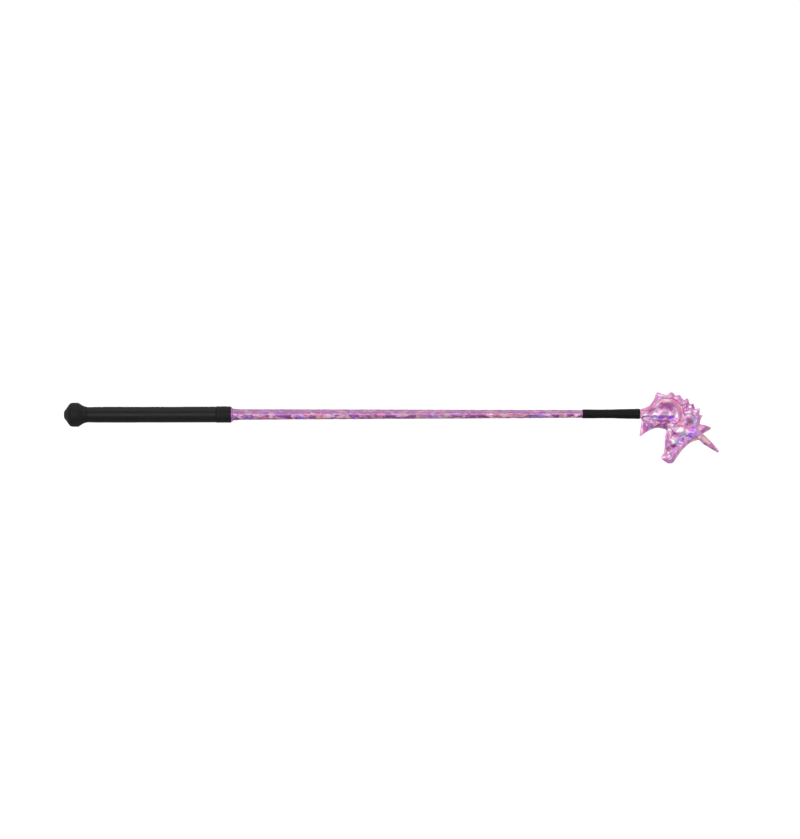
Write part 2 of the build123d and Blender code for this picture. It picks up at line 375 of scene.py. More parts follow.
def hologram(name, base, flake_size, stretch, tilt, crease, calm_size, gloss, mood):
    """Holographic foil: flakes like cracked ice under a clear skin, each with its own hue and tilt."""
    material, tree, surface = new_material(name)
    place = node(tree, "UVMap", uv_map="foil").outputs[0]
    waves = {"Vector": place, "Scale": 0.5 / flake_size, "Detail": 1.0}
    warp = node(tree, "TexNoise", waves).outputs["Color"]
    bent = vector_node(tree, "ADD", place, scaled(tree, warp, flake_size * 0.9))
    long = vector_node(tree, "MULTIPLY", bent, (1 / stretch, 1.0, 1.0))
    flakes = node(tree, "TexVoronoi", {"Vector": long, "Scale": 1 / flake_size}, voronoi_dimensions="2D")
    chips = node(tree, "TexVoronoi", {"Vector": long, "Scale": 2.2 / flake_size}, voronoi_dimensions="2D")
    flake, chip = flakes.outputs["Color"], chips.outputs["Color"]
    red, green, _ = node(tree, "SeparateColor", {0: flake}).outputs
    chip_red, _, _ = node(tree, "SeparateColor", {0: chip}).outputs
    own = math_node(tree, "MULTIPLY_ADD", red, 0.75, math_node(tree, "MULTIPLY_ADD", chip_red, 0.25, -0.5))
    patch = noise_node(tree, place, 1 / calm_size, 1)
    up = node(tree, "SeparateXYZ", {0: node(tree, "TexCoord").outputs["Normal"]}).outputs["Z"]
    # The mood paints highlights and shade into the colour, by which way the surface faces.
    share, hue = mood(tree, up, patch, own)
    mixed = node(tree, "MapRange", {"Value": share, 3: 0.08, 4: 0.92}).outputs[0]
    colour = node(tree, "Mix", {0: mixed, 6: (*base, 1), 7: hue}, data_type="RGBA").outputs[2]

    lean = scaled(tree, vector_node(tree, "SUBTRACT", flake, (0.5, 0.5, 0.5)), tilt)
    small_lean = scaled(tree, vector_node(tree, "SUBTRACT", chip, (0.5, 0.5, 0.5)), tilt * 0.35)
    crumple = bump(tree, noise_node(tree, place, 0.7 / flake_size, 2, 0.4), crease)
    leaned = vector_node(tree, "ADD", crumple, vector_node(tree, "ADD", lean, small_lean))
    normal = vector_node(tree, "NORMALIZE", leaned)
    rough = node(tree, "MapRange", {"Value": green, 3: gloss, 4: gloss + 0.16}).outputs[0]
    connect(tree, surface, Base_Color=colour, Roughness=rough, Normal=normal, Metallic=0.5)
    connect(tree, surface, Coat_Weight=0.4, Coat_Roughness=gloss / 2, Coat_Normal=crumple)
    return material


# Turned pieces


def make_piece(name, points, faces, material, smooth=True):
    mesh = bpy.data.meshes.new(name)
    mesh.from_pydata([tuple(point) for point in points], [], [list(face) for face in faces])
    mesh.validate()
    mesh.materials.append(material)
    if smooth:
        mesh.shade_smooth()
    piece = bpy.data.objects.new(name, mesh)
    bpy.context.scene.collection.objects.link(piece)
    return piece


def rounded(points, radius, steps=5):
    """The same run of (x, r) points with each inner corner rounded."""
    run = [np.array(points[0], float)]
    for before, corner, after in zip(points, points[1:], points[2:]):
        before, corner, after = (np.array(p, float) for p in (before, corner, after))
        back, on = before - corner, after - corner
        reach = min(radius, np.linalg.norm(back) * 0.45, np.linalg.norm(on) * 0.45)
        start = corner + back / np.linalg.norm(back) * reach
        end = corner + on / np.linalg.norm(on) * reach
        for t in np.linspace(0, 1, steps):
            run.append((1 - t) ** 2 * start + 2 * t * (1 - t) * corner + t * t * end)
    run.append(np.array(points[-1], float))
    return np.array(run)


def split_long(run, step):
    """The same run with points added so that none is further than step from the next."""
    out = [run[0]]
    for a, b in zip(run, run[1:]):
        parts = max(1, math.ceil(np.linalg.norm(b - a) / step))
        out += [a + (b - a) * k / parts for k in range(1, parts + 1)]
    return np.array(out)


def lathe(name, outside, inside, around, material, dent=None):
    """A closed shell turned about X from its outer and inner runs of (x, r).

    An outer run that starts on the axis is closed there.
    """
    capped = outside[0][1] < 1e-6
    outer = outside[1:] if capped else outside
    inner = inside[:-1] if capped else inside
    profile = np.concatenate([outer, inner])
    angles = np.arange(around) * 2 * math.pi / around
    x = np.repeat(profile[:, 0], around)
    r = np.repeat(profile[:, 1], around)
    theta = np.tile(angles, len(profile))
    if dent:
        skin = np.repeat(np.arange(len(profile)) < len(outer), around)
        r = r + np.where(skin, dent(x, theta), 0)
    points = [np.column_stack([x, r * np.sin(theta), r * np.cos(theta)])]
    faces = []
    rows = len(profile)
    for row in range(rows - 1 if capped else rows):
        below = (row + 1) % rows
        for k in range(around):
            n = (k + 1) % around
            faces.append((row * around + k, row * around + n, below * around + n, below * around + k))
    if capped:
        points.append([(outside[0][0], 0, 0), (inside[-1][0], 0, 0)])
        nose, floor = rows * around, rows * around + 1
        last = (rows - 1) * around
        for k in range(around):
            n = (k + 1) % around
            faces.append((nose, n, k))
            faces.append((floor, last + k, last + n))
    piece = make_piece(name, np.concatenate(points), faces, material)
    lay_foil_round(piece, x, theta, np.mean(outer[:, 1]))
    return piece


def lay_foil_round(piece, x, theta, radius):
    """A flat map of a turned piece, in metres along and around, so that a pattern wraps it evenly."""
    layer = piece.data.uv_layers.new(name="foil")
    corners = np.array([loop.vertex_index for loop in piece.data.loops])
    known = np.minimum(corners, len(x) - 1)
    along, turn = x[known], theta[known].copy()
    starts = np.array([(p.loop_start, p.loop_total) for p in piece.data.polygons])
    for start, total in starts:
        part = turn[start:start + total]
        if part.max() - part.min() > math.pi:
            part[part < math.pi] += 2 * math.pi
    flat = np.column_stack([along, turn * radius]).astype(np.float32)
    layer.data.foreach_set("uv", flat.ravel())


def lumps(size, depth, seed):
    """A dent function for lathe: soft lumps of a size, in metres, that meet all the way round."""
    ring = 8 * MM

    def dent(x, theta):
        places = np.column_stack([x, np.sin(theta) * ring, np.cos(theta) * ring]) / size
        shift = Vector((seed, 0, 0))
        return np.array([noise.noise(Vector(place) + shift) for place in places]) * depth
    return dent


def add_pommel(material):
    """The rubber knob: a flat nose, a steep cone, a band and a hollow back that runs into its skirt."""
    shape = [
        (0.7, 0), (0.7, 3.6), (1.3, 4.3), (3.0, 6.5), (5.2, 9.8), (6.6, 11.3), (8.2, 12.0), (14.8, 12.0),
        (16.3, 11.05), (18.0, 9.8), (20.0, 8.7), (21.0, 8.32), (22.9, 7.93), (23.8, 7.72),
    ]
    hollow = [(23.8, 6.2), (19.0, 6.6), (14.0, 10.2), (7.6, 10.2), (1.9, 3.5), (1.9, 0)]
    start = POMMEL_END - KNOB_LENGTH
    outside = [(start + x * MM, r * MM) for x, r in shape]
    inside = np.array([(start + x * MM, r * MM) for x, r in hollow])
    run = split_long(rounded(outside, 0.6 * MM), 0.6 * MM)
    return lathe("knob", run, inside, 96, material, lumps(6 * MM, 0.08 * MM, 3))


def add_grip(material):
    """The smooth rubber tube, a little uneven where it stretches over the handle."""
    bore = HANDLE_BORE + 0.05 * MM
    outside = [
        (GRIP_START, bore), (GRIP_START, GRIP_R - 0.26 * MM), (GRIP_START + 3 * MM, GRIP_R - 0.20 * MM),
        (GRIP_START + 8 * MM, GRIP_R - 0.02 * MM), (GRIP_END, GRIP_R - 0.02 * MM), (GRIP_END, bore),
    ]
    run = split_long(rounded(outside, 0.3 * MM, 4), 1.0 * MM)
    slow, quick = lumps(22 * MM, 0.16 * MM, 7), lumps(6 * MM, 0.05 * MM, 11)
    inside = np.array([(GRIP_START + (GRIP_END - GRIP_START) / 2, bore)])
    return lathe("grip", run, inside, 80, material, lambda x, t: slow(x, t) + quick(x, t))


def add_band(material):
    """The ring at the grip's front, pressed on so that its surface puckers in uneven rings."""
    lip = 0.5 * MM
    bore = FLARE_R + 0.05 * MM
    outside = [
        (BAND_START, bore), (BAND_START, BAND_R - lip), (BAND_START + lip, BAND_R),
        (BAND_END - lip, BAND_R), (BAND_END, BAND_R - 1.4 * lip), (BAND_END, bore),
    ]
    run = split_long(rounded(outside, 0.6 * MM, 4), 0.35 * MM)
    small = lumps(2.2 * MM, 0.16 * MM, 5)
    inside = np.array([((BAND_START + BAND_END) / 2, bore)])

    def pucker(x, theta):
        rings = np.sin((x - BAND_START) / (2.1 * MM) * 2 * math.pi + 1.2 * np.sin(2 * theta)) * 0.05 * MM
        return rings + small(x, theta) - 0.07 * MM
    return lathe("grip_band", run, inside, 96, material, pucker)


def film_radius(x):
    """The foil's outer radius, which falls evenly to the tip, from the CAD wrap's two ends."""
    share = (x - BAND_END) / (SLEEVE_START - BAND_END)
    return FOIL_R_AT_BAND + share * (FOIL_R_AT_TIP - FOIL_R_AT_BAND)


def add_shaft_foil(material):
    """The foil, wound round the shaft as one long spiral strip whose edge shows as a slight step."""
    lead, step = 13.5 * MM, 0.10 * MM
    flare, flare_end = FLARE_R - 0.1 * MM, BAND_END + 6.9 * MM
    small = lumps(5 * MM, 0.10 * MM, 21)
    outside = [
        (FILM_START, flare), (BAND_END + 0.1 * MM, flare), (BAND_END + 0.1 * MM, COLLAR_R - 0.1 * MM),
        (BAND_END + 0.9 * MM, COLLAR_R - 0.4 * MM), (BAND_END + 2.2 * MM, flare), (flare_end, flare),
        (flare_end + 1.3 * MM, film_radius(flare_end)), (FILM_END, film_radius(FILM_END)),
    ]
    run = split_long(rounded(outside, 0.8 * MM, 5), 0.75 * MM)
    inside = np.array([(x, film_radius(x) - 0.35 * MM) for x in (FILM_END, FILM_START)])

    def wound(x, theta):
        turn = ((x - FILM_START) / lead - theta / (2 * math.pi)) % 1.0
        edge = np.where(turn < 0.08, 1 - turn / 0.08, (turn - 0.08) / 0.92)
        return (edge - 0.5) * step + small(x, theta)
    return lathe("shaft_foil", run, inside, 56, material, wound)


def add_tip_sleeve(material):
    """The shrink sleeve: a waist, a swell over the binding, and a small rolled lip at its mouth."""
    shape = [
        (0, 4.04), (0, 4.35), (0.6, 4.52), (20, 4.37), (28, 4.41), (36, 4.7), (47, 4.93), (52.4, 4.96),
        (53.4, 5.08), (55.8, 5.1), (56.9, 4.8), (56.9, 4.25),
    ]
    length = MOUTH - SLEEVE_START
    outside = [(SLEEVE_START + x / 56.9 * length, r * MM) for x, r in shape]
    run = split_long(rounded(outside, 0.5 * MM, 4), 0.6 * MM)
    inside = np.array([(MOUTH - 10.9 * MM, 4.25 * MM), (SLEEVE_START + 33 * MM, 3.86 * MM)])
    ridges = lumps(7 * MM, 0.12 * MM, 31)

    def shrunk(x, theta):
        turns = np.sin((x - SLEEVE_START) / (0.55 * MM) * 2 * math.pi)
        bound = 1 / (1 + np.exp(-(x - SLEEVE_START - 34 * MM) / (1 * MM)))
        bound *= 1 / (1 + np.exp((x - MOUTH + 4.5 * MM) / (0.5 * MM)))
        return ridges(x, theta) + 0.012 * MM * turns * bound
    return lathe("tip_shrink_sleeve", run, inside, 72, material, shrunk)


# The head, in millimetres in its own plane: u runs on from the sleeve's mouth and w rises from the axis

NECK_TOP = [(-2.5, 3.9), (-0.2, 4.0), (1.0, 4.9), (5.0, 6.0), (10.0, 8.8), (14.0, 14.5)]
MANE = [
    (16.5, 21.3), (18.5, 21.3), (22.0, 20.0), (25.0, 19.3), (28.0, 19.2), (30.5, 21.5), (33.0, 21.0),
    (35.5, 17.8), (38.0, 18.5), (40.0, 19.0), (41.0, 16.5), (44.0, 13.5), (46.5, 15.5), (48.0, 14.8),
    (49.5, 9.5), (52.5, 10.5), (53.5, 9.5), (55.0, 4.5), (59.0, 6.0), (59.5, 4.0), (59.0, -1.0),
    (62.5, -1.8), (60.0, -6.0), (59.5, -10.5),
]
EAR = [(64.0, -11.0), (71.0, -13.8), (69.5, -15.8), (62.5, -19.8)]
HORN = [
    (70.2, -27.0), (76.6, -34.4), (78.5, -37.3), (77.5, -38.7), (70.0, -34.5), (62.5, -29.8), (58.7, -25.8),
]
FOREHEAD = [(50.0, -28.8), (42.0, -36.0), (36.5, -43.5), (33.0, -48.3)]
MUZZLE = [(30.0, -49.3), (27.0, -48.8), (21.8, -45.0), (21.0, -42.5), (23.6, -39.0)]
JAW = [(24.6, -33.0), (24.8, -24.0), (26.4, -17.5), (25.3, -15.5)]
THROAT = [(22.0, -14.6), (16.0, -14.1), (8.0, -17.2), (1.0, -22.0)]
CHEST = [(-0.2, -21.6), (0.8, -14.0), (1.9, -6.5), (1.0, -4.9), (-0.2, -4.0), (-2.5, -3.9)]

# Mesh steps, the pouch before it is blown up, its walls, and the room left for the pieces inside
OUTLINE_STEP = 0.5
GRID = 0.55
RIM_WIDTH = 1.9
RIM_HALF = 0.62
WELD_HALF = 1.2
CREASE_HALF = 2.5
START_PUFF = 2.6
RIDGE_HALF = 3.9
MELT = 0.55
PROUD = 4.0
SKIN = 0.6
GLUE = 0.05
STIFFENER_ROOM = 0.45
SPINE_ROOM = 1.95
SPINE_END = 33.3
RIDGE_FADE = (33, 38)
HORN_AXIS = (59.5, -22.8), (77.4, -38.0)
EAR_AXIS = (60, -15.2), (70, -14.6)
HELD_BEFORE, HELD_PAST = 2.0, 58
PAD_START = 2.0
SMOOTHING = 4
BACK_SHIFT = 0.3

# The cloth, which is blown up at 20 times its size
SIM_SCALE = 0.02
SIM_FRAMES = 20
PRESSURE = 7.0
BENDING = 8.0
SLACK = 0.05


def curve_through(points, per_span=24):
    """A smooth run through points (Catmull-Rom)."""
    p = np.array([points[0], *points, points[-1]], float)
    t = np.linspace(0, 1, per_span, endpoint=False)[:, None]
    run = []
    for a, b, c, d in zip(p, p[1:], p[2:], p[3:]):
        square, cube = 2 * a - 5 * b + 4 * c - d, 3 * b - a - 3 * c + d
        run.append(0.5 * (2 * b + (c - a) * t + square * t ** 2 + cube * t ** 3))
    return np.concatenate([*run, [points[-1]]])


def evenly(run, step, closed=True):
    """The same run with its points a step apart."""
    ends = np.concatenate([run, run[:1]]) if closed else run
    lengths = np.concatenate([[0], np.cumsum(np.linalg.norm(np.diff(ends, axis=0), axis=1))])
    places = np.linspace(0, lengths[-1], max(3, round(lengths[-1] / step)), endpoint=not closed)
    return np.column_stack([np.interp(places, lengths, ends[:, k]) for k in (0, 1)])


def soften(run, reach, step):
    """A closed run with its corners rounded over a reach."""
    count = max(1, round(2 * reach / step))
    weights = np.exp(-0.5 * (np.arange(-count, count + 1) * step / reach) ** 2)
    weights /= weights.sum()
    shifted = [np.roll(run, k - count, axis=0) * w for k, w in enumerate(weights)]
    return np.sum(shifted, axis=0)


def head_outline():
    runs = [
        curve_through(NECK_TOP),
        np.array([NECK_TOP[-1], *MANE, *EAR, *HORN], float),
        curve_through([HORN[-1], *FOREHEAD, *MUZZLE, *JAW]),
        curve_through([JAW[-1], *THROAT]),
        curve_through([THROAT[-1], *CHEST]),
    ]
    fine = evenly(np.concatenate(runs), 0.1)
    return evenly(soften(fine, 0.28, 0.1), OUTLINE_STEP)


def inside_of(points, outline):
    """Which points lie inside the outline."""
    x, y = points[:, 0], points[:, 1]
    inside = np.zeros(len(points), bool)
    for (ax, ay), (bx, by) in zip(outline, np.roll(outline, -1, axis=0)):
        crosses = (ay > y) != (by > y)
        inside ^= crosses & (x < ax + (y - ay) * (bx - ax) / (by - ay + 1e-12))
    return inside


def nearest(points, run):
    """For each point, how far the closest point of a run is, and its place in the run."""
    tree = KDTree(len(run))
    for index, (x, y) in enumerate(run):
        tree.insert((x, y, 0), index)
    tree.balance()
    found = [tree.find((x, y, 0)) for x, y in points]
    return np.array([f[2] for f in found]), np.array([f[1] for f in found])


def head_grid():
    """Points and triangles over the head: the outline first, then a honeycomb inside it."""
    outline = head_outline()
    low, high = outline.min(0), outline.max(0)
    rows = []
    for row, w in enumerate(np.arange(low[1], high[1], GRID * math.sqrt(0.75))):
        us = np.arange(low[0] + (row % 2) * GRID / 2, high[0], GRID)
        rows.append(np.column_stack([us, np.full(len(us), w)]))
    inner = np.concatenate(rows)
    inner = inner[inside_of(inner, outline)]
    gap, _ = nearest(inner, evenly(outline, 0.1))
    inner = inner[gap > 0.6 * GRID]
    points = np.concatenate([outline, inner])
    count = len(outline)
    edges = [(k, (k + 1) % count) for k in range(count)]
    made = delaunay_2d_cdt([Vector(p) for p in points], edges, [], 1, 1e-6)
    return np.array([tuple(v) for v in made[0]]), [tuple(f) for f in made[2]], outline


def to_segment(points, a, b):
    """The distance to a line from a to b, and the share of the way along it."""
    a, b = np.array(a, float), np.array(b, float)
    along = b - a
    share = np.clip((points - a) @ along / (along @ along), 0, 1)
    return np.linalg.norm(points - a - share[:, None] * along, axis=1), share


def to_path(points, path):
    return np.min([to_segment(points, a, b)[0] for a, b in zip(path, path[1:])], axis=0)


def oval(points, centre, half, turn):
    """The distance from an oval's centre as a share of its half sizes."""
    c, s = math.cos(math.radians(turn)), math.sin(math.radians(turn))
    d = points - np.array(centre)
    return np.hypot((d[:, 0] * c + d[:, 1] * s) / half[0], (d[:, 1] * c - d[:, 0] * s) / half[1])


def step_up(x, start, end):
    t = np.clip((x - start) / (end - start), 0, 1)
    return t * t * (3 - 2 * t)


# Lines along which the front and back are welded together, and the crease below the neck's spine
MANE_WELD = [
    (7, 4.9), (12, 6.8), (16.5, 9.0), (20, 12.4), (24, 14.4), (31, 14.6), (36, 12.0), (40.5, 6.5),
    (42.6, 0.5), (42.2, -4.0), (40.0, -8.5), (35.5, -11.5),
]
POLL_WELD = [
    (44.0, -2.6), (47.5, -1.2), (51.5, -2.2), (54.3, -5.5), (54.0, -9.5), (50.8, -12.6), (46.5, -12.6),
]
JOWL_WELD = [(29.5, -14.6), (32.0, -18.5), (35.8, -22.6), (40.5, -23.8), (44.0, -21.5)]
MUZZLE_WELD = [(28.2, -29.0), (30.8, -33.5), (34.2, -33.8), (38.0, -31.0)]
MOUTH_WELD = [(23.0, -43.6), (26.2, -43.0), (29.2, -41.0)]
EYE_WELD = [(45.8, -27.6), (44.2, -26.2), (45.4, -23.6), (48.0, -22.8), (49.2, -24.2)]
WELDS = [MANE_WELD, POLL_WELD, JOWL_WELD, MUZZLE_WELD, MOUTH_WELD, EYE_WELD]
NECK_CREASE = [(4.5, -4.6), (9, -4.3), (14, -4.4), (24, -4.9), (33.5, -5.2)]

# Where the foil takes a set colour: its own hues, and painted light. The white patches and the peach and
# rose along the upper shoulders are painted highlights; the violet and blue under the neck's spine and the
# plum in the muzzle's crease are painted shade. Columns: centre, half sizes, turn in degrees, hue, strength
TINTS_AND_PAINTED_LIGHT = [
    ((26.0, 7.0), (11.5, 5.2), 0, MAUVE, 0.97),
    ((11.0, 4.2), (6.5, 2.4), 15, MAUVE, 0.95),
    ((48.8, -7.2), (4.6, 3.6), -15, MAUVE, 0.95),
    ((24.0, -8.0), (9.5, 2.8), -5, MAUVE, 0.92),
    # Painted highlights on the cheek.
    ((42.6, -19.8), (5.2, 2.6), 15, PAINTED_HIGHLIGHT_WHITE, 0.75),
    ((39.8, -15.8), (7.0, 3.6), -18, PAINTED_HIGHLIGHT_WHITE, 1.0),
    ((52.3, -18.6), (5.2, 5.8), 10, ORCHID, 1.0),
    ((49.6, -22.6), (2.6, 2.4), -20, VIOLET, 0.9),
    # A painted highlight: the light blue strip along the mane's front edge.
    ((54.4, -7.5), (2.0, 7.5), 0, BLUE, 0.95),
    ((37.4, -28.0), (3.8, 3.2), 0, BLUE, 1.0),
    ((44.4, -21.8), (4.4, 2.2), 35, BLUE, 0.9),
    ((42.0, -25.0), (3.0, 1.3), 35, VIOLET, 0.9),
    ((33.2, -26.0), (2.2, 4.2), 0, PAINTED_HIGHLIGHT_WHITE, 0.95),
    ((33.5, -20.0), (1.6, 1.4), 0, MAUVE, 0.9),
    # Painted shade: plum in the crease above the muzzle.
    ((32.8, -32.2), (3.8, 2.2), 10, PLUM, 0.95),
    ((28.2, -35.0), (2.2, 3.2), 0, MAUVE, 0.8),
    ((32.6, -38.0), (2.4, 4.8), -25, LILAC, 1.0),
    ((44.0, -30.4), (9.5, 2.0), 42, LILAC, 0.9),
    ((28.6, -41.0), (1.7, 3.0), -15, PAINTED_HIGHLIGHT_WHITE, 0.95),
    ((23.0, -44.0), (2.0, 2.2), 0, LILAC, 0.9),
    # Painted shade: violet and blue bands on the slope that faces down under the neck's spine, and painted
    # highlights in white along its crest.
    ((14.4, -3.3), (4.0, 2.3), 0, BLUE, 0.95),
    ((20.4, -3.5), (3.2, 2.6), 0, VIOLET, 1.0),
    ((29.5, -3.5), (5.4, 2.8), 0, VIOLET, 1.0),
    ((6.0, -4.6), (3.0, 1.4), 0, BLUE, 0.8),
    ((10.4, -5.0), (1.8, 1.4), 0, PLUM, 0.8),
    ((5.5, -1.0), (2.6, 1.4), 0, PAINTED_HIGHLIGHT_WHITE, 0.8),
    ((14.0, 0.0), (4.0, 1.1), -3, PAINTED_HIGHLIGHT_WHITE, 0.9),
    ((26.0, -0.6), (8.5, 1.0), -3, PAINTED_HIGHLIGHT_WHITE, 0.85),
    # Painted highlights in peach, rose and white along the neck panel's upper shoulder and round the poll.
    ((25.5, 13.2), (7.5, 1.6), 0, PEACH, 0.95),
    ((35.5, 11.0), (3.4, 2.0), -35, ROSE, 0.85),
    ((17.8, 10.4), (3.6, 1.4), 48, PAINTED_HIGHLIGHT_WHITE, 0.9),
    ((39.6, 8.0), (2.0, 4.6), 20, PEACH, 0.95),
    ((41.4, -2.0), (1.6, 5.6), 0, PEACH, 0.95),
    ((35.6, -1.6), (2.0, 3.8), 0, PAINTED_HIGHLIGHT_WHITE, 0.9),
    ((48.2, -0.2), (3.8, 2.8), -20, PAINTED_HIGHLIGHT_WHITE, 1.0),
    ((30.5, -10.4), (5.0, 1.5), -12, PAINTED_HIGHLIGHT_WHITE, 0.85),
    ((39.0, -9.0), (3.0, 1.8), -20, PEACH, 0.85),
    ((40.5, -12.2), (4.0, 1.3), 0, ROSE, 0.95),
    ((29.4, -16.5), (1.8, 3.4), 0, PAINTED_HIGHLIGHT_WHITE, 0.85),
    ((9.0, -8.8), (5.0, 1.2), 0, PEACH, 0.8),
    ((9.0, -11.6), (5.5, 1.6), 0, ORCHID, 0.9),
    ((4.0, -16.5), (2.8, 3.6), 0, PINK, 0.85),
    ((54.0, -26.2), (6.4, 2.2), 25, PEACH, 1.0),
    ((44.0, -33.6), (9.0, 1.0), 42, PINK, 0.9),
    ((34.8, -43.8), (5.5, 1.3), 52, PINK, 0.9),
    ((25.2, -17.0), (1.3, 3.4), 0, ORCHID, 0.85),
    ((25.0, -28.0), (1.1, 8.0), 0, LILAC, 0.8),
    ((66.0, -26.5), (7.0, 1.6), -42, PEACH, 0.9),
    ((70.5, -31.5), (8.0, 1.6), -42, ROSE, 0.6),
    ((17.4, 14.6), (1.6, 3.4), 15, ORCHID, 0.85),
    ((23.5, 18.6), (5.0, 1.3), -8, PAINTED_HIGHLIGHT_WHITE, 0.85),
    ((26.0, 16.0), (4.0, 1.0), 0, ORCHID, 0.85),
    ((40.2, 16.6), (2.0, 2.0), 0, ORCHID, 0.85),
    ((45.5, 7.6), (3.0, 5.0), 20, MAUVE, 0.6),
    ((52.4, 6.8), (1.4, 3.4), 10, PLUM, 0.75),
    ((57.6, 3.6), (1.6, 2.4), 0, LILAC, 0.85),
    ((66.0, -14.0), (4.4, 1.8), -10, MAUVE, 0.8),
]


def noise_at(points, size, seed):
    return np.array([noise.noise(Vector((u / size, w / size, seed))) for u, w in points])


def flat_pouch(points, outline):
    """A skin before it is blown up: height off the middle plane, points held, and distance to the rim."""
    edge, _ = nearest(points, evenly(outline, 0.1))
    neck = step_up(points[:, 0], 0, 7)
    weld = np.min([to_path(points, path) for path in WELDS], axis=0)
    swell = np.clip((edge - RIM_WIDTH) / 3.0, 0, 1)
    height = RIM_HALF + (START_PUFF - RIM_HALF) * np.sqrt(1 - (1 - swell) ** 2) * neck
    height = np.where(edge > RIM_WIDTH, WELD_HALF + (height - WELD_HALF) * step_up(weld, 0.3, 2.2), height)

    fold = to_path(points, NECK_CREASE)
    height = np.where(fold < 3, CREASE_HALF + (height - CREASE_HALF) * step_up(fold, 0.2, 3.0), height)
    along_spine = np.clip(RIDGE_HALF ** 2 - points[:, 1] ** 2, 0, None)
    height = np.maximum(height, np.sqrt(along_spine) * (1 - step_up(points[:, 0], *RIDGE_FADE)))
    off, share = to_segment(points, *HORN_AXIS)
    radius = 3.3 - 2.1 * share
    height = np.maximum(height, 0.35 + 0.7 * np.sqrt(np.clip(radius ** 2 - off ** 2, 0, None)))
    off, share = to_segment(points, *EAR_AXIS)
    height = np.maximum(height, 0.4 + 0.6 * np.sqrt(np.clip((2.6 - 1.8 * share) ** 2 - off ** 2, 0, None)))
    loose = step_up(edge, RIM_WIDTH, RIM_WIDTH + 2) * step_up(weld, 0.3, 1.5)
    height += 0.18 * noise_at(points, 4.0, 9) * loose

    held = (edge < RIM_WIDTH) | (weld < 0.4) | (fold < 0.35)
    held |= (points[:, 0] < HELD_BEFORE) | (points[:, 0] > HELD_PAST)
    return height, held, edge


def blow_up(points, triangles, rim, height, held):
    """Both skins as one closed pouch of slack cloth, blown up by air pressure while held points stay."""
    count = len(points)
    front = np.column_stack([points[:, 0], -height, points[:, 1]])
    front[:rim, 1] = 0
    back = front * (1, -1, 1)
    back_index = np.concatenate([np.arange(rim), np.arange(count, 2 * count - rim)])
    flat = np.concatenate([front, back[rim:]])
    faces = [tuple(f) for f in triangles] + [tuple(back_index[k] for k in f[::-1]) for f in triangles]
    pouch = make_piece("pouch", flat * SIM_SCALE, faces, None)
    group = pouch.vertex_groups.new(name="held")
    group.add(np.nonzero(np.concatenate([held, held[rim:]]))[0].tolist(), 1.0, "REPLACE")

    cloth = pouch.modifiers.new("air", "CLOTH")
    made = cloth.settings
    made.quality = 5
    made.mass = 0.3
    made.tension_stiffness = made.compression_stiffness = 15
    made.shear_stiffness = 5
    made.bending_stiffness = BENDING
    made.use_pressure = True
    made.uniform_pressure_force = PRESSURE
    made.vertex_group_mass = "held"
    made.shrink_min = made.shrink_max = -SLACK
    made.effector_weights.gravity = 0
    cloth.point_cache.frame_end = SIM_FRAMES
    scene = bpy.context.scene
    for frame_number in range(1, SIM_FRAMES + 1):
        scene.frame_set(frame_number)
    blown = pouch.evaluated_get(bpy.context.evaluated_depsgraph_get()).data
    places = np.empty(3 * len(blown.vertices))
    blown.vertices.foreach_get("co", places)
    places = places.reshape(-1, 3) / SIM_SCALE
    scene.frame_set(1)
    bpy.data.objects.remove(pouch)
    return places[:count] * (1, -1, 1), places[back_index]


def head_tints_and_painted_light(points):
    """The set colour at each point of a skin, and how strongly, from the list of tints, which holds the
    foil's own hues, painted highlights and painted shade.
    """
    lay, glow = np.tile(MAUVE, (len(points), 1)), np.zeros(len(points))
    for centre, half, turn, hue, strength in TINTS_AND_PAINTED_LIGHT:
        here = strength * np.exp(-oval(points, centre, half, turn) ** 4)
        lay[here > glow] = hue
        glow = np.maximum(glow, here)
    return lay, glow


def smoothed(places, triangles, rim, passes):
    """The points with small jags taken out; the rim stays."""
    corners = np.array(triangles)
    pairs = np.concatenate([corners[:, [0, 1]], corners[:, [1, 2]], corners[:, [2, 0]]])
    pairs = np.concatenate([pairs, pairs[:, ::-1]])
    count = np.bincount(pairs[:, 0], minlength=len(places))[:, None]
    for _ in range(passes):
        total = np.zeros_like(places)
        np.add.at(total, pairs[:, 0], places[pairs[:, 1]])
        mean = total / count
        mean[:rim] = places[:rim]
        places = 0.4 * places + 0.6 * mean
    return places


def add_shell(name, side, outer, inner, triangles, material):
    """A closed shell between an outer and an inner wall of (u, depth, w), joined all round its border."""
    count = len(outer)
    walls = np.concatenate([outer, inner]) * (1, side, 1) * MM + (MOUTH, 0, 0)
    flip = 1 if side < 0 else -1
    faces = [f[::flip] for f in triangles] + [tuple(k + count for k in f[::-flip]) for f in triangles]
    edges = {(f[k], f[(k + 1) % 3]) for f in triangles for k in range(3)}
    for a, b in sorted(edges):
        if (b, a) not in edges:
            faces.append((b, a, a + count, b + count)[::flip])
    piece = make_piece(name, walls, faces, material)
    layer = piece.data.uv_layers.new(name="foil")
    corners = np.array([loop.vertex_index for loop in piece.data.loops]) % count
    flat = outer[corners][:, [0, 2]] * MM + (0.0 if side < 0 else BACK_SHIFT)
    layer.data.foreach_set("uv", flat.astype(np.float32).ravel())
    return piece


def only(keep, triangles):
    """The points to keep, and the triangles that use only those, renumbered."""
    chosen = [f for f in triangles if all(keep[k] for k in f)]
    used = sorted({k for f in chosen for k in f})
    number = {k: i for i, k in enumerate(used)}
    return used, [tuple(number[k] for k in f) for f in chosen]


